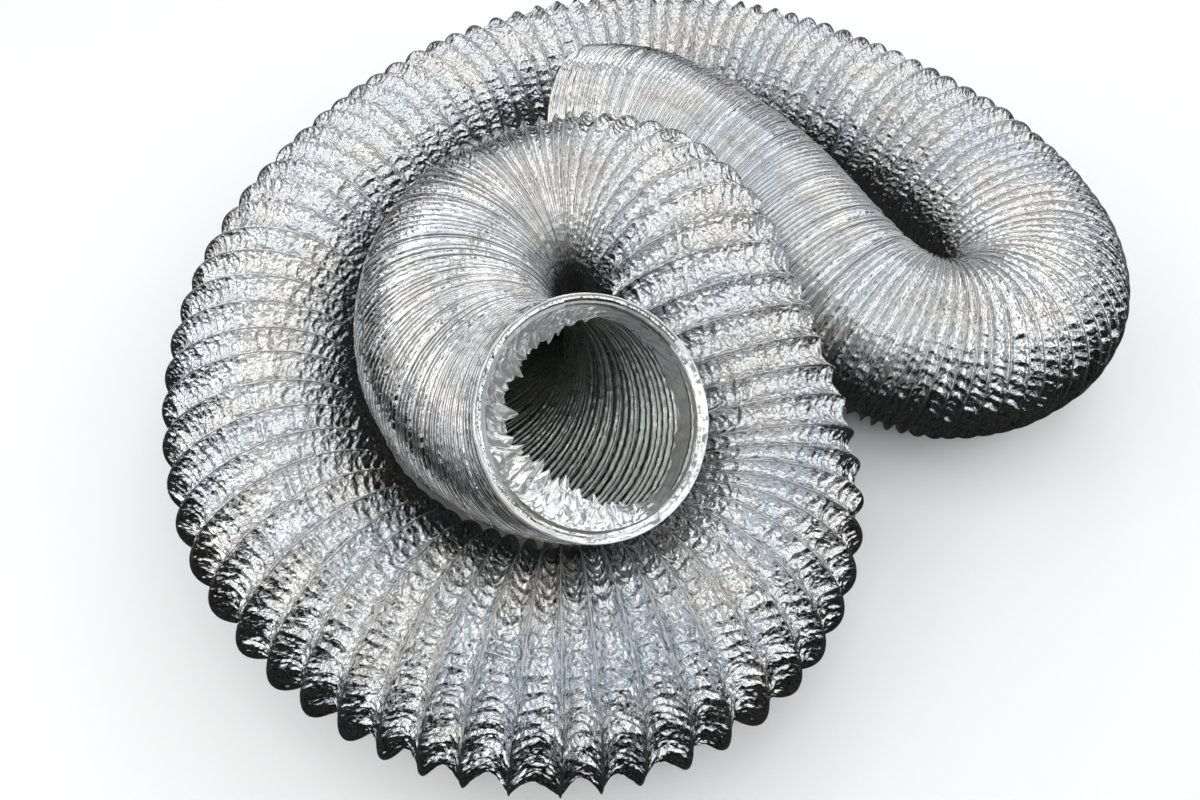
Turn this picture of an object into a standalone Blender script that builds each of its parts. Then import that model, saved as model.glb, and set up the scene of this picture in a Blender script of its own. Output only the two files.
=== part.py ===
"""Flexible foil ventilation duct, 100 mm bore, lying in a loose coil with both ends open.

Units are metres, +Z up. The origin is on the floor under the middle of the coil, +X to the right, +Y to the back.
The duct is a two-ply foil wall held round by one spring-steel wire wound as a helix, with the foil folded in at
each end. Wall and wire run along one route and are made in successive lengths, cut square across the route with
a hairline gap. The two lengths nearest each open end hinge or slide where the bellows opens.
"""
import math

import bpy
import numpy as np
from mathutils import Vector

OUTER_R = 0.0515          # flats of the wall's outer envelope, over the wire ridges
WALL = 0.0022             # envelope of the bonded plies
WIRE_GAP = 0.0010         # between the wall and the wire's envelope
WIRE_SLEEVE = 0.0012      # the wire's own diameter
HEM_LIP = 0.0008          # folded foil over the cut end
HEM_DEPTH = 0.014         # how far the fold reaches into the bore
HEM_GAP = 0.0004          # between the fold and what it covers
CUT = 0.0003              # hairline between neighbouring lengths
SIDES = 16                # a multiple of four, so a flat lies underneath and at each side
RING_STEP = 0.027         # spacing of cross-sections along the route
LIE = OUTER_R             # height of the centreline where the duct lies on the floor
CENTRE = (0.0011, -0.0003) # brings the origin under the middle of the box

# Centreline from the front mouth, round the small raised turn, the large turn, the right-hand loop and the tail.
ROUTE = [
    (-0.036, -0.168, 0.143), (-0.057, -0.152, 0.121), (-0.082, -0.130, 0.106), (-0.102, -0.100, 0.098),
    (-0.110, -0.062, 0.096), (-0.102, -0.026, 0.098), (-0.080, -0.003, 0.101), (-0.050, 0.005, 0.105),
    (-0.020, -0.004, 0.107), (0.002, -0.027, 0.105), (0.018, -0.063, 0.093), (0.035, -0.109, 0.071),
    (0.041, -0.147, 0.056), (0.032, -0.183, LIE), (0.008, -0.212, LIE), (-0.025, -0.230, LIE),
    (-0.066, -0.235, LIE), (-0.112, -0.223, LIE), (-0.159, -0.193, LIE), (-0.197, -0.143, LIE),
    (-0.220, -0.077, LIE), (-0.224, -0.006, LIE), (-0.205, 0.071, LIE), (-0.162, 0.146, LIE),
    (-0.099, 0.205, LIE), (-0.017, 0.234, LIE), (0.070, 0.221, LIE), (0.143, 0.173, LIE),
    (0.199, 0.109, LIE), (0.223, 0.053, LIE), (0.226, 0.001, LIE), (0.209, -0.034, LIE),
    (0.171, -0.053, LIE), (0.134, -0.045, LIE), (0.103, -0.009, 0.053), (0.069, 0.052, 0.061),
    (0.030, 0.089, 0.072), (-0.008, 0.112, 0.079), (-0.044, 0.123, 0.076),
]
END_LENGTH = 0.042        # each of the two moving lengths at an open end
COIL_LENGTHS = 16         # lengths between the moving ones


def clear_scene():
    for old in list(bpy.data.objects):
        bpy.data.objects.remove(old, do_unlink=True)


def material(name, colour, roughness, metallic):
    made = bpy.data.materials.new(name)
    made.use_nodes = True
    shader = made.node_tree.nodes["Principled BSDF"]
    shader.inputs["Base Color"].default_value = (*colour, 1.0)
    shader.inputs["Roughness"].default_value = roughness
    shader.inputs["Metallic"].default_value = metallic
    made.diffuse_color = (*colour, 1.0)
    return made


def natural_spline(points):
    """Cubic spline with free ends through the points, as a function of a 0..1 parameter array."""
    knots = np.concatenate([[0], np.cumsum(np.linalg.norm(np.diff(points, axis=0), axis=1) ** 0.5)])
    gaps = np.diff(knots)[:, None]
    slopes = np.diff(points, axis=0) / gaps
    count = len(points)
    system = np.eye(count)
    right = np.zeros_like(points)
    for i in range(1, count - 1):
        system[i, i - 1:i + 2] = gaps[i - 1, 0], 2 * (gaps[i - 1, 0] + gaps[i, 0]), gaps[i, 0]
        right[i] = 6 * (slopes[i] - slopes[i - 1])
    bend = np.linalg.solve(system, right)

    def at(share):
        t = np.asarray(share) * knots[-1]
        i = np.clip(np.searchsorted(knots, t, side="right") - 1, 0, count - 2)
        a = (knots[i + 1] - t)[:, None]
        b = (t - knots[i])[:, None]
        h = gaps[i]
        return (bend[i] * a ** 3 + bend[i + 1] * b ** 3) / (6 * h) + (
            points[i] / h - bend[i] * h / 6) * a + (points[i + 1] / h - bend[i + 1] * h / 6) * b

    return at


class Centreline:
    """The route as a function of distance from the front mouth."""

    def __init__(self, points):
        self.fine = natural_spline(np.array(points, float))(np.linspace(0, 1, 6001))
        self.fine -= np.array([*CENTRE, 0])
        steps = np.linalg.norm(np.diff(self.fine, axis=0), axis=1)
        self.dist = np.concatenate([[0], np.cumsum(steps)])
        self.length = float(self.dist[-1])

    def point(self, s):
        return Vector([float(np.interp(s, self.dist, self.fine[:, k])) for k in range(3)])

    def frame(self, s):
        """Point, direction along the route, sideways and upward directions at distance s."""
        ahead = self.point(min(s + 0.001, self.length))
        behind = self.point(max(s - 0.001, 0))
        along = (ahead - behind).normalized()
        side = along.cross(Vector((0, 0, 1))).normalized()
        return self.point(s), along, side, side.cross(along)


def ring(line, s, radius, shift=0.0):
    """A polygon across the route whose flats lie at the radius, with one flat underneath."""
    centre, along, side, up = line.frame(s)
    corner = radius / math.cos(math.pi / SIDES)
    points = []
    for k in range(SIDES):
        turn = -math.pi / 2 + (k + 0.5) * 2 * math.pi / SIDES
        points.append(centre + along * shift + corner * (math.cos(turn) * side + math.sin(turn) * up))
    return points


def loft(name, loops, look, origin):
    """One closed body through a ring of loops: each loop is joined to the next, the last to the first."""
    sides = len(loops[0])
    verts = [p - origin for loop in loops for p in loop]
    faces = []
    for i in range(len(loops)):
        a, b = i * sides, (i + 1) % len(loops) * sides
        for k in range(sides):
            n = (k + 1) % sides
            faces.append((a + k, b + k, b + n, a + n))
    mesh = bpy.data.meshes.new(name)
    mesh.from_pydata([tuple(v) for v in verts], [], faces)
    mesh.validate()
    mesh.shade_smooth()
    mesh.set_sharp_from_angle(angle=math.radians(35))
    mesh.materials.append(look)
    made = bpy.data.objects.new(name, mesh)
    made.location = origin
    bpy.context.collection.objects.link(made)
    return made


def tube(name, line, start, end, outer, thick, look, origin):
    """A hollow length of the duct from start to end along the route."""
    count = max(2, round((end - start) / RING_STEP))
    stations = [start + (end - start) * i / count for i in range(count + 1)]
    outside = [ring(line, s, outer) for s in stations]
    inside = [ring(line, s, outer - thick) for s in reversed(stations)]
    return loft(name, outside + inside, look, origin)


def hem(name, line, s, outward, look, origin):
    """Foil folded over a cut end: a lip across the wall's edge and a band inside the bore."""
    bore = OUTER_R - WALL - WIRE_GAP - WIRE_SLEEVE - WIRE_GAP - HEM_GAP
    profile = [
        (OUTER_R, HEM_GAP), (OUTER_R, HEM_GAP + HEM_LIP), (bore - HEM_LIP, HEM_GAP + HEM_LIP),
        (bore - HEM_LIP, -HEM_DEPTH), (bore, -HEM_DEPTH), (bore, HEM_GAP),
    ]
    if outward < 0:
        profile = profile[::-1]
    loops = [ring(line, s, radius, shift * outward) for radius, shift in profile]
    return loft(name, loops, look, origin)


def build():
    clear_scene()
    line = Centreline(ROUTE)
    foil = material("bright_foil", (0.80, 0.81, 0.82), 0.25, 1.0)
    steel = material("spring_steel", (0.42, 0.42, 0.43), 0.35, 1.0)
    folded = material("folded_foil", (0.86, 0.87, 0.88), 0.32, 1.0)

    ends = line.length
    cuts = [0.0, END_LENGTH, 2 * END_LENGTH]
    run = (ends - 4 * END_LENGTH) / COIL_LENGTHS
    cuts += [2 * END_LENGTH + run * (i + 1) for i in range(COIL_LENGTHS)]
    cuts += [ends - END_LENGTH, ends]
    names = ["mouth_end", "mouth_neck"] + ["%02d" % (i + 1) for i in range(COIL_LENGTHS)]
    names += ["tail_neck", "tail_end"]

    def top_of(s):
        centre, _, _, up = line.frame(s)
        return centre + up * OUTER_R / math.cos(math.pi / SIDES)

    # The first length of each end slides or bends at the second cut, the second at the third.
    origins = {
        "mouth_end": line.point(cuts[1]),
        "mouth_neck": top_of(cuts[2]),
        "tail_neck": top_of(cuts[-3]),
        "tail_end": top_of(cuts[-2]),
    }
    wire_r = OUTER_R - WALL - WIRE_GAP
    for name, start, end in zip(names, cuts[:-1], cuts[1:]):
        low = start + (CUT / 2 if start > 0 else 0)
        high = end - (CUT / 2 if end < ends else 0)
        origin = origins.get(name, Vector((0, 0, 0)))
        tube("foil_wall_" + name, line, low, high, OUTER_R, WALL, foil, origin)
        tube("spring_wire_" + name, line, low, high, wire_r, WIRE_SLEEVE, steel, origin)
    hem("mouth_hem", line, 0.0, -1, folded, origins["mouth_end"])
    hem("tail_hem", line, ends, 1, folded, origins["tail_end"])


build()
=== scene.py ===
"""Coiled flexible foil duct: detailed skin, wire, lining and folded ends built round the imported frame.

Metres, +Z up, the floor at z = 0 and the front of the object towards -Y. The foil is a strip wound as a
helix with a spring wire at its edges, so every mesh of it is one helical grid: each turn has rows along the
strip, one after another from wire to wire, and columns round the duct.
"""
import math

import bpy
import numpy as np
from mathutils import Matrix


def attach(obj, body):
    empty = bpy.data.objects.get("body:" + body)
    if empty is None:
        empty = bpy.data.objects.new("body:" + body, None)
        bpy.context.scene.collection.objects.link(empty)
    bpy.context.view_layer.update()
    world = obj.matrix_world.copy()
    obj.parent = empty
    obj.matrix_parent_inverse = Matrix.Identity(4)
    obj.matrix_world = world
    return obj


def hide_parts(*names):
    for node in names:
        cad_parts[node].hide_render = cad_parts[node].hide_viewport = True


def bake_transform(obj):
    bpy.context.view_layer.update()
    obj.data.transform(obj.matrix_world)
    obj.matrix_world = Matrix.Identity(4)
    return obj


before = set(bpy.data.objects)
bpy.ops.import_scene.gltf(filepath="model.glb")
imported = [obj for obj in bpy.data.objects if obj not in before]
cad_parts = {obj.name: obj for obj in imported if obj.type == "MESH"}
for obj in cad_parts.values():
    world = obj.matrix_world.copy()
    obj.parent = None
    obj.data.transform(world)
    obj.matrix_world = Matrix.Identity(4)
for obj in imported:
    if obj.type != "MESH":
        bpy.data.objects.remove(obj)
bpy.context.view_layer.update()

# ---- Route of the duct, the same as the CAD model's ----
LIE = 0.0515
CENTRE = (0.0011, -0.0003)
ROUTE = [
    (-0.036, -0.168, 0.143), (-0.057, -0.152, 0.121), (-0.082, -0.130, 0.106), (-0.102, -0.100, 0.098),
    (-0.110, -0.062, 0.096), (-0.102, -0.026, 0.098), (-0.080, -0.003, 0.101), (-0.050, 0.005, 0.105),
    (-0.020, -0.004, 0.107), (0.002, -0.027, 0.105), (0.018, -0.063, 0.093), (0.035, -0.109, 0.071),
    (0.041, -0.147, 0.056), (0.032, -0.183, LIE), (0.008, -0.212, LIE), (-0.025, -0.230, LIE),
    (-0.066, -0.235, LIE), (-0.112, -0.223, LIE), (-0.159, -0.193, LIE), (-0.197, -0.143, LIE),
    (-0.220, -0.077, LIE), (-0.224, -0.006, LIE), (-0.205, 0.071, LIE), (-0.162, 0.146, LIE),
    (-0.099, 0.205, LIE), (-0.017, 0.234, LIE), (0.070, 0.221, LIE), (0.143, 0.173, LIE),
    (0.199, 0.109, LIE), (0.223, 0.053, LIE), (0.226, 0.001, LIE), (0.209, -0.034, LIE),
    (0.171, -0.053, LIE), (0.134, -0.045, LIE), (0.103, -0.009, 0.053), (0.069, 0.052, 0.061),
    (0.030, 0.089, 0.072), (-0.008, 0.112, 0.079), (-0.044, 0.123, 0.076),
]
DIAMETER = 0.104
END_LENGTH = 0.042        # each of the two moving lengths at an open end


def natural_spline(points):
    """The natural cubic spline through the points, as a function of the share 0..1 of the way."""
    knots = np.concatenate([[0], np.cumsum(np.linalg.norm(np.diff(points, axis=0), axis=1) ** 0.5)])
    gaps = np.diff(knots)[:, None]
    slopes = np.diff(points, axis=0) / gaps
    count = len(points)
    system = np.eye(count)
    right = np.zeros_like(points)
    for i in range(1, count - 1):
        system[i, i - 1:i + 2] = gaps[i - 1, 0], 2 * (gaps[i - 1, 0] + gaps[i, 0]), gaps[i, 0]
        right[i] = 6 * (slopes[i] - slopes[i - 1])
    bend = np.linalg.solve(system, right)

    def at(share):
        t = np.asarray(share) * knots[-1]
        i = np.clip(np.searchsorted(knots, t, side="right") - 1, 0, count - 2)
        a = (knots[i + 1] - t)[:, None]
        b = (t - knots[i])[:, None]
        h = gaps[i]
        return (bend[i] * a ** 3 + bend[i + 1] * b ** 3) / (6 * h) + (
            points[i] / h - bend[i] * h / 6) * a + (points[i + 1] / h - bend[i + 1] * h / 6) * b

    return at


fine = natural_spline(np.array(ROUTE, float))(np.linspace(0, 1, 6001)) - np.array([*CENTRE, 0])
dist = np.concatenate([[0], np.cumsum(np.linalg.norm(np.diff(fine, axis=0), axis=1))])
LENGTH = float(dist[-1])
REACH = 0.030             # straight continuation past each open end
fine_along = np.gradient(fine, dist, axis=0)
fine_along /= np.linalg.norm(fine_along, axis=1)[:, None]
fine_curl = np.gradient(fine_along, dist, axis=0)      # curvature vector, 1/m
SMOOTH_OVER = 61          # points of the fine route, an odd number


def smoothed(values):
    kernel = np.ones(SMOOTH_OVER) / SMOOTH_OVER
    return np.convolve(np.pad(values, SMOOTH_OVER // 2, mode="edge"), kernel, mode="valid")


fine_curl = np.stack([smoothed(values) for values in fine_curl.T], axis=1)
fine = np.concatenate([fine[:1] - REACH * fine_along[:1], fine, fine[-1:] + REACH * fine_along[-1:]])
fine_along = np.concatenate([fine_along[:1], fine_along, fine_along[-1:]])
fine_curl = np.concatenate([fine_curl[:1], fine_curl, fine_curl[-1:]])
dist = np.concatenate([[-REACH], dist, [LENGTH + REACH]])


def along_route(s, table):
    """A row of a table of the route at each distance s from the mouth."""
    return np.stack([np.interp(s, dist, table[:, k]) for k in range(3)], axis=-1)


# ---- Pitch of the wire, in diameters, against the distance from the mouth, in diameters ----
PITCH = [
    (0, .034), (0.25, .027), (1.5, .03), (2.3, .05), (2.9, .10), (3.3, .14), (3.8, .135),
    (4.3, .12), (5.5, .12), (6.3, .14), (7.0, .172), (8.0, .184), (9.0, .186), (10, .15),
    (11, .155), (12, .12), (13, .115), (14.5, .135), (15.2, .09), (15.8, .062), (16.3, .06),
    (16.6, .047), (17.2, .035), (17.8, .028), (18.4, .024), (19.3, .022),
]
pitch_at, pitch_is = (np.array(x) * DIAMETER for x in zip(*PITCH))
turn_s = np.linspace(0, LENGTH, 40001)
turn_p = np.interp(turn_s, pitch_at, pitch_is)
turn_t = np.concatenate([[0], np.cumsum(np.diff(turn_s) / (0.5 * (turn_p[1:] + turn_p[:-1])))])
TURNS = float(turn_t[-1])

rng = np.random.default_rng(7)
COUNT = int(math.ceil(TURNS)) + 2
turn_jog = rng.normal(0, 0.055, COUNT + 4)             # each turn's place, in pitches
turn_lean = rng.normal(0, 0.05, (COUNT + 4, 2))        # and how it leans
turn_out = rng.normal(0, 0.00022, COUNT + 4)           # and how far it stands out, in metres

RIDGE_R = 0.0510          # from the centre line to the foil over a wire
BEAD = 0.0006             # the wire shows as a bead of this height
BEAD_WIDTH = 0.00055
SLUMP = 0.0045            # how far the large turn bulges towards the middle of the coil, where it is bunched
WIRE_R = 0.00045
PLEAT = 0.0017            # height of the pleats where the foil is drawn out
OPEN_PITCH = 0.011        # and the spacing of the wires there
STRIP_TURN = 2 * math.pi * RIDGE_R


def between(table, turn, part):
    """A value kept for each turn of wire, blended across the strip from one turn to the next."""
    turns = np.arange(len(table)) - 1
    return (1 - part) * np.interp(turn, turns, table) + part * np.interp(turn + 1, turns, table)


def crease(rand, spacing, length):
    """Random fold line: places and heights of a jagged line that alternates up and down."""
    count = int(length / spacing * 1.3)
    places = np.cumsum(spacing * rand.uniform(0.45, 1.55, count))
    heights = rand.uniform(0.35, 1.0, count) * np.where(np.arange(count) % 2, 1, -1)
    heights += rand.normal(0, 0.18, count)
    return places - spacing, heights


STRIP = (COUNT + 2) * STRIP_TURN
crease_a = crease(rng, 0.0034, STRIP)
crease_b = crease(rng, 0.0030, STRIP)
crease_c = crease(rng, 0.0017, STRIP)
bunch_a = crease(rng, 0.011, STRIP)                    # where the pleats are strong and where they fade
bunch_b = crease(rng, 0.013, STRIP)
swell = crease(rng, 0.035, STRIP)

# How deep the foil sags between turns, in metres, against the distance from the mouth, in diameters
SAG = [
    (0, .003), (3, .004), (4.2, .0045), (5.2, .0078), (8.3, .0078), (9.6, .0044), (13, .0048), (14.5, .0060),
    (16, .005), (19.3, .003),
]
sag_at, sag_is = np.array(SAG).T
sag_at = sag_at * DIAMETER

END_FADE = 0.075                    # an end is pulled out of square over this length
MOUTH_RISE = 0.12                   # and the mouth is lifted over this one
MOUTH_SHIFT = np.array([-0.0016, 0.0026, 0.0017])
MOUTH_FACE = math.radians(128.3)    # the side of the mouth that is drawn back
TAIL_FACE = math.radians(144.6)     # the side of the tail that is drawn out


def end_shape(s, theta):
    """How far the foil is drawn out past each cut end, round it, and how far it is squeezed in there."""
    to_tail = LENGTH - s
    mouth = np.clip(1 - s / END_FADE, 0, 1) ** 2
    tail = np.clip(1 - to_tail / END_FADE, 0, 1) ** 2
    out = mouth * (0.0005 - 0.0102 * np.cos(theta - MOUTH_FACE))
    out = out - tail * (-0.002 + 0.0145 * np.cos(theta - TAIL_FACE))
    squeeze = -0.0017 * np.exp(-np.clip(s, 0, 9) / 0.014) - 0.0008 * np.exp(-np.clip(to_tail, 0, 9) / 0.014)
    return out, squeeze


def mouth_lift(s):
    return np.clip(1 - s / MOUTH_RISE, 0, 1)[:, None] ** 2 * MOUTH_SHIFT


def ring_axes(s):
    """The duct's axis at a distance s, and the level and the upward direction across it."""
    along = along_route(s, fine_along)
    along /= np.linalg.norm(along, axis=1)[:, None]
    side = np.stack([along[:, 1], -along[:, 0], np.zeros(len(along))], axis=1)
    side /= np.linalg.norm(side, axis=1)[:, None]
    return along, side, np.cross(side, along)


def pleat_height(ribbon, part, local):
    """Short folds that run out from either wire, strong in some places and weak in others."""
    rise = np.clip(part / 0.10, 0, 1)
    fall = np.clip((1 - part) / 0.10, 0, 1)
    strong_a = np.clip(0.55 + 0.75 * np.interp(ribbon, *bunch_a), 0.08, 1.3)
    strong_b = np.clip(0.55 + 0.75 * np.interp(ribbon, *bunch_b), 0.08, 1.3)
    slanted_a = ribbon + 0.35 * local * (part - 0.3)
    slanted_b = ribbon + 0.22 * local * (part - 0.7)
    first = np.interp(slanted_a, *crease_a) * rise * np.clip((0.70 - part) / 0.3, 0, 1)
    second = np.interp(slanted_b, *crease_b) * fall * np.clip((part - 0.30) / 0.3, 0, 1)
    third = np.interp(ribbon + 0.002 * np.sin(9 * part), *crease_c) * 4 * part * (1 - part)
    return first * strong_a + second * strong_b + 0.3 * third


def sag_depth(s, ribbon, local):
    depth = np.minimum(np.interp(s, sag_at, sag_is), 0.27 * local + 34 * local ** 2)
    depth = depth * (1 + 0.9 * np.exp(-np.clip(s, 0, 9) / 0.012))
    return depth * (1 + 0.16 * np.interp(ribbon, *swell))


def slump_of(s, outward, inward):
    """The bulge of the large turn, which faces the middle of the coil and upwards."""
    slump = np.clip((outward * (0.75 * inward + np.array([0, 0, 0.66]))).sum(1), 0, 1) ** 2
    turns_on = s / DIAMETER
    return slump * SLUMP * np.clip((turns_on - 4.2) / 1.2, 0, 1) * np.clip((10.5 - turns_on) / 1.5, 0, 1)


def surface(turn, part, inside=0.0, pleats=1.0, least=0.0):
    """Points of the foil. turn is turns wound from the mouth, part is 0..1 from one wire to the next."""
    theta = 2 * math.pi * (turn - np.floor(turn))
    s = np.interp(turn + part, turn_t, turn_s)
    pitch = np.interp(s, turn_s, turn_p)
    # Each turn wanders a little, and more where the turns are bunched close
    wander = between(turn_jog, turn, part)
    wander += between(turn_lean[:, 0], turn, part) * np.cos(theta)
    wander += between(turn_lean[:, 1], turn, part) * np.sin(theta)
    settle = np.clip(np.minimum(s, LENGTH - s) / 0.02, 0, 1)
    settle = settle * (1 + 2.2 * np.clip((0.0075 - pitch) / 0.004, 0, 1))
    pull, squeeze = end_shape(s, theta)
    s_out = np.clip(s + pitch * settle * wander, 0, LENGTH) - pull
    centre = along_route(s_out, fine)
    curl = along_route(s_out, fine_curl)
    _, side, up = ring_axes(s_out)
    outward = np.cos(theta)[:, None] * side + np.sin(theta)[:, None] * up
    inward = curl / (np.linalg.norm(curl, axis=1)[:, None] + 1e-6)
    local = pitch * np.clip(1 - RIDGE_R * (outward * curl).sum(1), 0.25, 2.2)   # wide outside a bend
    ribbon = turn * STRIP_TURN
    depth = sag_depth(s, ribbon, local)
    if inside > 0.001:
        bunched = np.clip(1 - local / 0.007, 0, 1)
        depth = np.maximum(0.42 * depth, depth - 0.0007 * bunched)
        inside = inside + 0.0022 * (1 - bunched)
    to_wire = np.minimum(part, 1 - part) * local
    radius = RIDGE_R - depth * np.sin(math.pi * part) ** 0.85
    radius = radius + BEAD * np.exp(-(to_wire / BEAD_WIDTH) ** 2)
    radius = radius + between(turn_out, turn, part) + squeeze + slump_of(s, outward, inward)
    if pleats:
        size = np.maximum(pleats * PLEAT * np.clip(local / OPEN_PITCH, 0, 1.15) ** 2.0, least)
        size = size * (1 - 0.6 * np.clip((outward * inward).sum(1), 0, 1))
        radius = radius + size * pleat_height(ribbon, part, local)
    points = centre + (radius - inside)[:, None] * outward
    points += mouth_lift(s_out)
    points[:, 2] = np.maximum(points[:, 2], 0.0002 + inside)
    return points, s


def row_parts(turn, rows, width):
    """Where the rows lie across the strip: five close to the wires, the rest spread between."""
    s = np.interp(turn, turn_t, turn_s)
    pitch = np.interp(s, turn_s, turn_p)
    w = np.minimum(width / pitch, 0.09)
    parts = [0 * w, w, 2 * w]
    inner = rows - 5
    parts += [2 * w + (1 - 4 * w) * (k + 1) / (inner + 1) for k in range(inner)]
    parts += [1 - 2 * w, 1 - w]
    return parts


def strip_mesh(name, first_turn, last_turn, columns, rows, inside=0.0, pleats=1.0, least=0.0, flip=False):
    """One length of the foil as a mesh, from the middle of one turn to the middle of another."""
    start = int(math.floor(first_turn)) - 1
    stop = int(math.ceil(last_turn)) + 1
    turns = np.arange(start, stop + 2)
    column = np.arange(columns) / columns
    turn = (turns[:, None] + column[None, :]).ravel()
    parts = row_parts(turn, rows, 0.0005)
    grid = np.zeros((len(turns), rows, columns), int)
    grid[:] = np.arange(grid.size).reshape(grid.shape)
    all_turn = np.broadcast_to(turns[:, None, None] + column[None, None, :], grid.shape).ravel()
    all_part = np.stack([p.reshape(len(turns), columns) for p in parts], axis=1).ravel()
    grid = grid.reshape(len(turns) * rows, columns)
    low = grid[:-rows - 1]
    high = grid[1:-rows]
    low_next = np.concatenate([grid[:-rows - 1, 1:], grid[rows:-1, :1]], axis=1)
    high_next = np.concatenate([grid[1:-rows, 1:], grid[rows + 1:, :1]], axis=1)
    quads = np.stack([low, high, high_next, low_next], axis=-1).reshape(-1, 4)
    place = all_turn + all_part
    middle = place[quads[:, 0]] + 1e-9
    half = all_part[quads[:, 0]]
    # A face belongs to the piece whose range holds the middle of the strip that it lies in
    strip_of = all_turn[quads[:, 0]] + np.where(half < 0.4999, 0.0, 1.0)
    keep = (strip_of >= first_turn) & (strip_of < last_turn) & (middle > -0.5)
    quads = quads[keep]
    used, quads = np.unique(quads, return_inverse=True)
    quads = quads.reshape(-1, 4)
    points, s = surface(all_turn[used], all_part[used], inside, pleats, least)
    real = place[used]
    alive = ~((real[quads] <= 0).all(1) | (real[quads] >= TURNS).all(1))
    quads = quads[alive]
    used, quads = np.unique(quads, return_inverse=True)
    quads = quads.reshape(-1, 4)
    if flip:
        quads = quads[:, ::-1]
    thing = plain_mesh(name, points[used], quads)
    loose = thing.data.attributes.new("loose", "FLOAT", "POINT")
    drawn_out = np.clip(np.interp(s[used], turn_s, turn_p) / 0.013, 0, 1)
    loose.data.foreach_set("value", drawn_out.astype(np.float32))
    return thing


def plain_mesh(name, points, quads):
    """A smooth-shaded mesh object from points and four-sided faces."""
    made = bpy.data.meshes.new(name)
    made.vertices.add(len(points))
    made.vertices.foreach_set("co", np.ascontiguousarray(points, np.float32).ravel())
    made.loops.add(quads.size)
    made.loops.foreach_set("vertex_index", np.ascontiguousarray(quads, np.int32).ravel())
    made.polygons.add(len(quads))
    made.polygons.foreach_set("loop_start", np.arange(0, quads.size, quads.shape[1], dtype=np.int32))
    made.polygons.foreach_set("use_smooth", np.ones(len(quads), bool))
    made.update(calc_edges=True)
    made.validate()
    thing = bpy.data.objects.new(name, made)
    bpy.context.scene.collection.objects.link(thing)
    return thing


# ---- Materials ----
def new_material(name):
    made = bpy.data.materials.new(name)
    made.use_nodes = True
    tree = made.node_tree
    shader = tree.nodes["Principled BSDF"]
    return made, tree, shader


def node(tree, kind, **settings):
    made = tree.nodes.new("ShaderNode" + kind)
    for key, value in settings.items():
        if key in made.inputs:
            made.inputs[key].default_value = value
        else:
            setattr(made, key, value)
    return made


def foil(name, tint, cool, warm, rough, bump, fixed=None):
    """Crinkled foil: grain, facets of two sizes, a faint cool and warm cast, and cloudy wear in the gloss.

    The crinkles are as strong as the mesh says the foil is drawn out, or else everywhere as strong as fixed.
    """
    made, tree, shader = new_material(name)
    link = tree.links.new
    where = tree.nodes.new("ShaderNodeTexCoord").outputs["Object"]
    cloud = node(tree, "TexNoise", Scale=22.0, Detail=3.0)
    link(where, cloud.inputs["Vector"])
    cast = tree.nodes.new("ShaderNodeValToRGB")
    cast.color_ramp.elements[0].position = 0.36
    cast.color_ramp.elements[0].color = (*cool, 1)
    cast.color_ramp.elements[1].position = 0.64
    cast.color_ramp.elements[1].color = (*warm, 1)
    cast.color_ramp.elements.new(0.5).color = (*tint, 1)
    link(cloud.outputs["Fac"], cast.inputs["Fac"])
    link(cast.outputs["Color"], shader.inputs["Base Color"])
    shader.inputs["Metallic"].default_value = 1.0
    grain = node(tree, "TexNoise", Scale=210.0, Detail=2.0, Roughness=0.5)
    link(where, grain.inputs["Vector"])
    spread = tree.nodes.new("ShaderNodeMapRange")
    spread.inputs["From Min"].default_value = 0.3
    spread.inputs["From Max"].default_value = 0.7
    spread.inputs["To Min"].default_value = rough * 0.6
    spread.inputs["To Max"].default_value = rough * 1.5
    link(grain.outputs["Fac"], spread.inputs["Value"])
    link(spread.outputs["Result"], shader.inputs["Roughness"])
    height = grain.outputs["Fac"]
    for scale, share in ((290.0, 1.0), (560.0, 0.35)):
        facets = node(tree, "TexVoronoi", feature="F1", Scale=scale)
        link(where, facets.inputs["Vector"])
        scaled = node(tree, "Math", operation="MULTIPLY_ADD")
        scaled.inputs[1].default_value = share
        link(facets.outputs["Distance"], scaled.inputs[0])
        link(height, scaled.inputs[2])
        height = scaled.outputs["Value"]
    rise = node(tree, "Bump", Distance=0.0011)
    if fixed is None:
        loose = node(tree, "Attribute", attribute_name="loose")
        amount = tree.nodes.new("ShaderNodeMapRange")
        amount.inputs["To Min"].default_value = 0.03 * bump
        amount.inputs["To Max"].default_value = bump
        link(loose.outputs["Fac"], amount.inputs["Value"])
        link(amount.outputs["Result"], rise.inputs["Strength"])
    else:
        rise.inputs["Strength"].default_value = fixed
    link(height, rise.inputs["Height"])
    link(rise.outputs["Normal"], shader.inputs["Normal"])
    return made


COOL = (0.685, 0.72, 0.755)
WARM = (0.745, 0.735, 0.72)
bright = foil("bright_foil_crinkled", (0.735, 0.745, 0.75), COOL, WARM, 0.085, 1.0)
# The lining's colour is set far darker than the outer foil's. This is painted shade for the inside of the
# bore, where the lining shows. Its rougher, duller gloss is the foil's own.
lining = foil("dull_lining_foil_painted_shade", (0.40, 0.43, 0.41), (0.37, 0.41, 0.39), (0.44, 0.44, 0.41), 0.34, 0.5)
cuff_foil = foil("folded_foil_cuff", (0.80, 0.80, 0.795), (0.76, 0.78, 0.80), (0.80, 0.79, 0.77), 0.10, 0.4,
                 fixed=0.06)
cuff_foil.node_tree.nodes["Principled BSDF"].inputs["Metallic"].default_value = 0.70
steel, _, steel_shader = new_material("spring_steel_wire")
steel_shader.inputs["Base Color"].default_value = (0.42, 0.41, 0.40, 1)
steel_shader.inputs["Metallic"].default_value = 1.0
steel_shader.inputs["Roughness"].default_value = 0.35


# ---- Pieces ----
def turn_of(s):
    return float(np.interp(s, turn_s, turn_t))


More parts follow.
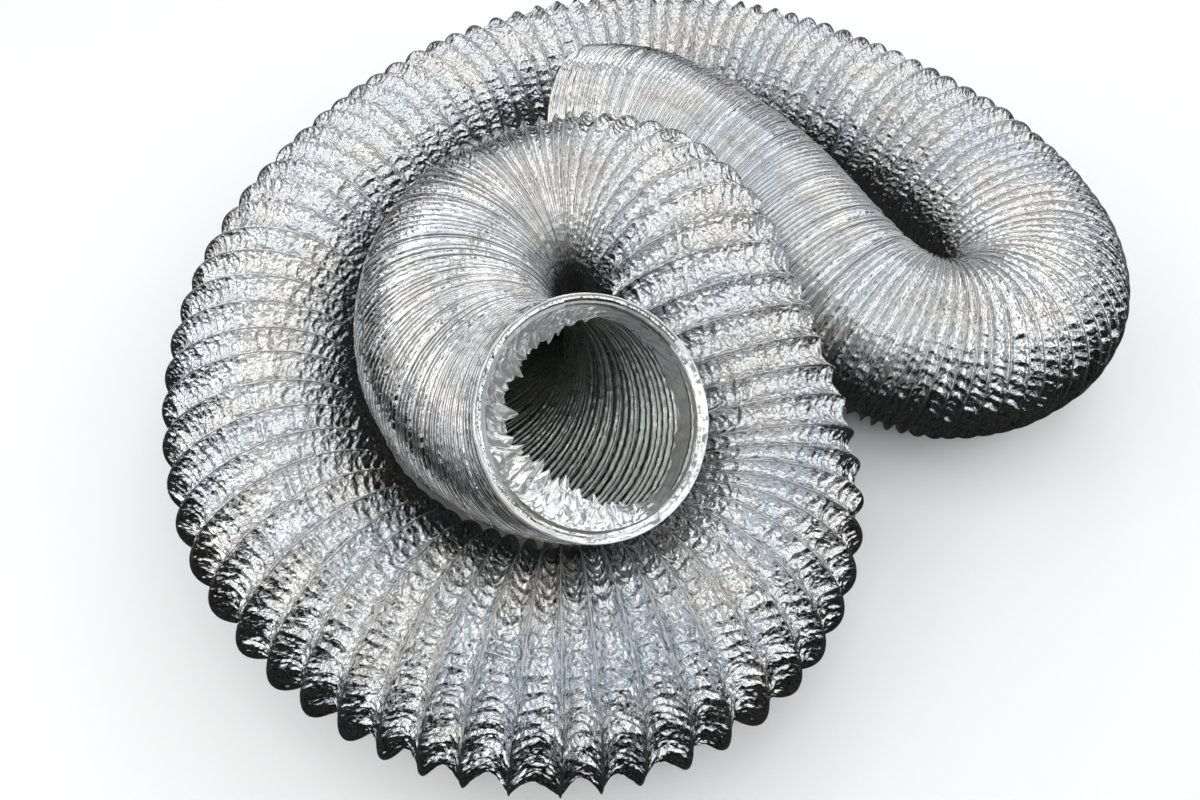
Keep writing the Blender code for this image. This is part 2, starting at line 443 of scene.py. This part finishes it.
NECK_TO = 0.097                                        # the moving lengths and their necks end here
MIDDLE_LENGTHS = 16   # of the CAD model's wall and wire, between the necks
MOUTH_END_TURN = math.floor(turn_of(1.5 * END_LENGTH))
MOUTH_NECK_TURN = math.floor(turn_of(NECK_TO))
TAIL_NECK_TURN = math.floor(turn_of(LENGTH - NECK_TO))
TAIL_END_TURN = math.floor(turn_of(LENGTH - 1.5 * END_LENGTH))
OPEN_FROM = math.floor(turn_of(2.45 * DIAMETER))       # the turns are drawn apart from here
OPEN_TO = math.floor(turn_of(15.9 * DIAMETER))         # and close up again here
CLOSE_GRID = (320, 10)                                 # columns round a turn, rows across the strip
OPEN_GRID = (640, 12)
LINING_GRID = (240, 8)
HIDDEN_LINING_GRID = (64, 6)
MOST_FACES = 98000                                     # in one piece of the skin


def shares(first, last, grid):
    """Near-equal runs of turns, each of which stays under the most faces for one piece."""
    count = math.ceil((last - first) * grid[0] * grid[1] / MOST_FACES)
    edges = np.linspace(first, last, count + 1).round()
    return [(a, b, grid) for a, b in zip(edges[:-1], edges[1:])]


coil_spans = shares(MOUTH_NECK_TURN, OPEN_FROM, CLOSE_GRID) + shares(OPEN_FROM, OPEN_TO, OPEN_GRID)
coil_spans += shares(OPEN_TO, TAIL_NECK_TURN, CLOSE_GRID)
skin_spans = [("mouth_end", 0, MOUTH_END_TURN, CLOSE_GRID),
              ("mouth_neck", MOUTH_END_TURN, MOUTH_NECK_TURN, CLOSE_GRID)]
skin_spans += [(f"coil_{k + 1:02d}", *span) for k, span in enumerate(coil_spans)]
skin_spans += [("tail_neck", TAIL_NECK_TURN, TAIL_END_TURN, CLOSE_GRID),
               ("tail_end", TAIL_END_TURN, TURNS + 1, CLOSE_GRID)]
outer = {}
for label, first, last, grid_size in skin_spans:
    piece = strip_mesh("foil_skin_" + label, first, last, *grid_size)
    piece.data.materials.append(bright)
    outer[label] = piece

body_spans = [("mouth_end", 0, MOUTH_END_TURN), ("mouth_neck", MOUTH_END_TURN, MOUTH_NECK_TURN),
              ("coil", MOUTH_NECK_TURN, TAIL_NECK_TURN), ("tail_neck", TAIL_NECK_TURN, TAIL_END_TURN),
              ("tail_end", TAIL_END_TURN, TURNS + 1)]
inner = {}
for label, first, last in body_spans:
    grid_size = HIDDEN_LINING_GRID if label == "coil" else LINING_GRID
    piece = strip_mesh("foil_lining_" + label, first, last, *grid_size, inside=0.0012, pleats=0.4,
                       least=0.00042, flip=True)
    piece.data.materials.append(lining)
    inner[label] = piece


def wire_mesh(name, first_turn, last_turn):
    """The spring wire between the two plies, as a thin helical tube."""
    sides, steps = 6, 44
    last_turn = min(last_turn, TURNS - 0.02)
    turn = np.linspace(first_turn, last_turn, int((last_turn - first_turn) * steps) + 2)
    still = np.zeros(len(turn))
    middle, _ = surface(turn, still, inside=0.0006, pleats=0)
    deeper, _ = surface(turn, still, inside=0.0016, pleats=0)
    tangent = np.gradient(middle, axis=0)
    tangent /= np.linalg.norm(tangent, axis=1)[:, None]
    radial = middle - deeper
    radial /= np.linalg.norm(radial, axis=1)[:, None] + 1e-9
    across = np.cross(tangent, radial)
    angle = np.arange(sides) * 2 * math.pi / sides
    ring = np.cos(angle)[None, :, None] * radial[:, None] + np.sin(angle)[None, :, None] * across[:, None]
    points = (middle[:, None] + WIRE_R * ring).reshape(-1, 3)
    grid = np.arange(len(points)).reshape(-1, sides)
    beside = np.roll(grid, -1, axis=1)
    quads = np.stack([grid[:-1], beside[:-1], beside[1:], grid[1:]], axis=-1).reshape(-1, 4)
    thing = plain_mesh(name, points, quads)
    thing.data.materials.append(steel)
    return thing


wires = {label: wire_mesh("wire_helix_" + label, first, last) for label, first, last in body_spans}


def bump_at(theta, degrees, width):
    """A smooth bump of height 1 round the rim, centred on an angle."""
    off = (theta - math.radians(degrees) + math.pi) % (2 * math.pi) - math.pi
    return np.exp(-(off / math.radians(width)) ** 2)


CUFF_COLUMNS, CUFF_ROWS = 540, 34
# How far the mouth's cuff hangs into the bore: metres, where it does in degrees, over how many degrees
MOUTH_HANG = [(0.0080, 102, 24), (0.0062, 66, 26), (0.0150, 180, 24), (0.0125, 214, 20), (0.0060, 244, 20),
              (0.0085, 140, 24)]
# The folded edge from the outside in: metres into the bore, metres out from the lip
LIP = [(0.0022, 0.0001), (0.0012, 0.0003), (0.0003, 0.0003), (-0.0002, 0.0001), (-0.0003, -0.0002),
       (-0.0001, -0.0005)]


def cuff(name, at_mouth, seed):
    """The foil folded over the cut end and into the bore, ragged and partly hanging loose."""
    rand = np.random.default_rng(seed)
    theta = np.arange(CUFF_COLUMNS) * 2 * math.pi / CUFF_COLUMNS
    end = 0.0 if at_mouth else LENGTH
    inward = 1.0 if at_mouth else -1.0
    arc = theta * RIDGE_R

    def jagged(spacing):
        count = int(STRIP_TURN / spacing)
        at = (np.arange(count) + rand.uniform(-0.3, 0.3, count)) * STRIP_TURN / count
        high = rand.uniform(0.3, 1, count) * np.where(np.arange(count) % 2, 1, -1)
        return lambda x: np.interp(x % STRIP_TURN, at, high, period=STRIP_TURN)

    coarse, middle, small, edge_a, edge_b = (jagged(k) for k in (0.0115, 0.0056, 0.0026, 0.017, 0.0042))
    if at_mouth:
        hang = sum(far * bump_at(theta, degrees, width) for far, degrees, width in MOUTH_HANG)
    else:
        hang = 0.0020 + 0.0030 * bump_at(theta, 60, 50)
    hang = hang + 0.0012 - 0.0010 * bump_at(theta, 325, 60)
    depth = 0.0110 + 0.0035 * bump_at(theta, 325, 60) + 0.0022 * edge_a(arc) + 0.0016 * edge_b(arc)
    depth = depth * (1 - 0.45 * bump_at(theta, 145, 42))
    pull, squeeze = end_shape(np.full(CUFF_COLUMNS, end), theta)
    lip_r = RIDGE_R + BEAD + squeeze
    wave = 0.0005 * edge_a(arc) + 0.0002 * middle(arc)
    rings = [(into + wave, lip_r + out + 0.4 * wave) for into, out in LIP]
    folded_rows = CUFF_ROWS - len(LIP)
    for k in range(folded_rows):
        t = (k + 1) / folded_rows
        ease = t * t * (3 - 2 * t)
        rough = np.clip(hang / 0.012, 0.10, 1.0)
        slant = 1.7 * depth * t
        crumple = 0.0050 * coarse(arc + slant) * ease + 0.0044 * middle(arc - 1.3 * slant) * t
        crumple = (crumple + 0.0003 * small(arc + 0.8 * slant)) * rough
        wrinkle = 0.00045 * middle(arc + 0.006 * t) * t + 0.00010 * small(arc)
        into = 0.0008 + depth * t * (1 - 0.35 * hang / 0.0165) + 0.25 * crumple
        r = lip_r - 0.0007 - 0.0030 * min(1, 7 * t) - hang * (0.35 * t + 0.65 * ease)
        rings.append((into, r - np.abs(crumple) * 0.8 - crumple * 0.3 + wrinkle))
    points = []
    for into, r in rings:
        s_here = end + inward * into - (pull if at_mouth else 0)
        _, side, up = ring_axes(s_here)
        outward = np.cos(theta)[:, None] * side + np.sin(theta)[:, None] * up
        points.append(along_route(s_here, fine) + r[:, None] * outward + mouth_lift(s_here))
    points = np.concatenate(points)
    grid = np.arange(len(points)).reshape(len(rings), CUFF_COLUMNS)
    beside = np.roll(grid, -1, axis=1)
    quads = np.stack([grid[:-1], grid[1:], beside[1:], beside[:-1]], axis=-1).reshape(-1, 4)
    if at_mouth:
        quads = quads[:, ::-1]
    thing = plain_mesh(name, points, quads)
    thing.data.materials.append(cuff_foil)
    return thing


mouth_cuff = cuff("mouth_cuff", True, 11)
tail_cuff = cuff("tail_cuff", False, 12)


def place(piece, label):
    if label == "mouth_end":
        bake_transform(piece)
    elif label == "mouth_neck":
        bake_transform(piece)
    elif label == "tail_neck":
        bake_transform(piece)
    elif label == "tail_end":
        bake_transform(piece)
    else:
        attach(piece, "coil")


for group in (outer, inner, wires):
    for label, piece in group.items():
        place(piece, label)

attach(mouth_cuff, "mouth_end")
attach(tail_cuff, "tail_end")
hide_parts("mouth_hem")
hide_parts("tail_hem")
for label in ("mouth_end", "mouth_neck", "tail_neck", "tail_end"):
    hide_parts("foil_wall_" + label)
    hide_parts("spring_wire_" + label)
for k in range(MIDDLE_LENGTHS):
    number = f"{k + 1:02d}"
    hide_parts("foil_wall_" + number)
    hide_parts("spring_wire_" + number)

# ---- Camera, floor and light ----
cam = bpy.data.cameras.new("camera")
cam.lens = 24.0
cam.sensor_width = 36.0
cam.clip_start = 0.01
cam_object = bpy.data.objects.new("camera", cam)
cam_object.location = (-0.0377, -0.3468, 0.4063)
cam_object.rotation_euler = (math.radians(36), 0, 0)
bpy.context.scene.collection.objects.link(cam_object)
bpy.context.scene.camera = cam_object

floor = plain_mesh("floor", np.array([(-6, -6, 0), (6, -6, 0), (6, 6, 0), (-6, 6, 0)], float),
                   np.array([[0, 1, 2, 3]]))
floor_mat, _, floor_shader = new_material("floor_white")
floor_shader.inputs["Base Color"].default_value = (0.97, 0.97, 0.97, 1)
floor_shader.inputs["Roughness"].default_value = 0.9
floor.data.materials.append(floor_mat)
floor.visible_glossy = False

# A plain pale dome that only the camera sees, so that the studio panels show in the foil alone
RINGS, SIDES, DOME_R = 12, 48, 5.6
rise, round_it = np.meshgrid(np.linspace(0, 0.5 * math.pi, RINGS), np.linspace(0, 2 * math.pi, SIDES),
                             indexing="ij")
dome_points = np.stack([np.cos(rise) * np.cos(round_it), np.cos(rise) * np.sin(round_it), np.sin(rise)],
                       axis=-1)
dome_grid = np.arange(RINGS * SIDES).reshape(RINGS, SIDES)
dome_quads = np.stack([dome_grid[:-1, :-1], dome_grid[1:, :-1], dome_grid[1:, 1:], dome_grid[:-1, 1:]],
                      axis=-1)
backdrop = plain_mesh("backdrop", DOME_R * dome_points.reshape(-1, 3), dome_quads.reshape(-1, 4))
pale, _, pale_shader = new_material("backdrop_pale")
pale_shader.inputs["Base Color"].default_value = (0, 0, 0, 1)
pale_shader.inputs["Emission Color"].default_value = (0.93, 0.93, 0.935, 1)
pale_shader.inputs["Emission Strength"].default_value = 1.0
backdrop.data.materials.append(pale)
backdrop.visible_diffuse = False
backdrop.visible_glossy = False
backdrop.visible_transmission = False
backdrop.visible_shadow = False

world = bpy.data.worlds.new("studio")
bpy.context.scene.world = world
world.use_nodes = True
wt = world.node_tree
sky = wt.nodes["Background"]
coord = wt.nodes.new("ShaderNodeTexCoord")
split = wt.nodes.new("ShaderNodeSeparateXYZ")
wt.links.new(coord.outputs["Generated"], split.inputs["Vector"])
dome = wt.nodes.new("ShaderNodeValToRGB")
dome.color_ramp.elements[0].position, dome.color_ramp.elements[0].color = 0.0, (0.022, 0.023, 0.022, 1)
dome.color_ramp.elements[1].position, dome.color_ramp.elements[1].color = 0.08, (0.07, 0.07, 0.072, 1)
for at, colour in ((0.24, (0.48, 0.48, 0.49)), (0.50, (0.90, 0.91, 0.93)), (0.9, (1.0, 1.0, 1.0))):
    dome.color_ramp.elements.new(at).color = (*colour, 1)
sideways = node(wt, "Math", operation="ABSOLUTE")
wt.links.new(split.outputs["X"], sideways.inputs[0])
to_side = node(wt, "Math", operation="MULTIPLY_ADD")
to_side.inputs[1].default_value = 0.45
to_side.inputs[2].default_value = -0.16
wt.links.new(sideways.outputs["Value"], to_side.inputs[0])
wall_side = node(wt, "Math", operation="MAXIMUM")
wall_side.inputs[1].default_value = 0.0
wt.links.new(to_side.outputs["Value"], wall_side.inputs[0])
lifted = node(wt, "Math", operation="ADD")
wt.links.new(split.outputs["Z"], lifted.inputs[0])
wt.links.new(wall_side.outputs["Value"], lifted.inputs[1])
wt.links.new(lifted.outputs["Value"], dome.inputs["Fac"])
panels = wt.nodes.new("ShaderNodeTexNoise")
panels.inputs["Scale"].default_value = 4.6
panels.inputs["Detail"].default_value = 1.0
wt.links.new(coord.outputs["Generated"], panels.inputs["Vector"])
gaps = wt.nodes.new("ShaderNodeValToRGB")
gaps.color_ramp.elements[0].position, gaps.color_ramp.elements[0].color = 0.465, (0.06, 0.065, 0.07, 1)
gaps.color_ramp.elements[1].position, gaps.color_ramp.elements[1].color = 0.53, (1, 1, 1, 1)
wt.links.new(panels.outputs["Fac"], gaps.inputs["Fac"])
joined = wt.nodes.new("ShaderNodeMixRGB")
joined.blend_type = "MULTIPLY"
joined.inputs["Fac"].default_value = 1.0
wt.links.new(dome.outputs["Color"], joined.inputs["Color1"])
wt.links.new(gaps.outputs["Color"], joined.inputs["Color2"])
wt.links.new(joined.outputs["Color"], sky.inputs["Color"])
sky.inputs["Strength"].default_value = 1.8
bpy.context.scene.view_settings.view_transform = "Standard"


def area(name, where, turn, size, power, colour=(1, 1, 1)):
    lamp = bpy.data.lights.new(name, "AREA")
    lamp.shape = "RECTANGLE"
    lamp.size, lamp.size_y = size
    lamp.energy = power
    lamp.color = colour
    thing = bpy.data.objects.new(name, lamp)
    thing.location = where
    thing.rotation_euler = [math.radians(a) for a in turn]
    bpy.context.scene.collection.objects.link(thing)


area("window_left", (-0.75, -0.55, 0.75), (50, 0, -54), (0.30, 0.30), 0.9, (1.0, 0.98, 0.95))
area("window_back", (0.25, 0.95, 0.95), (-45, 0, 12), (0.45, 0.25), 0.8, (0.97, 0.98, 1.0))
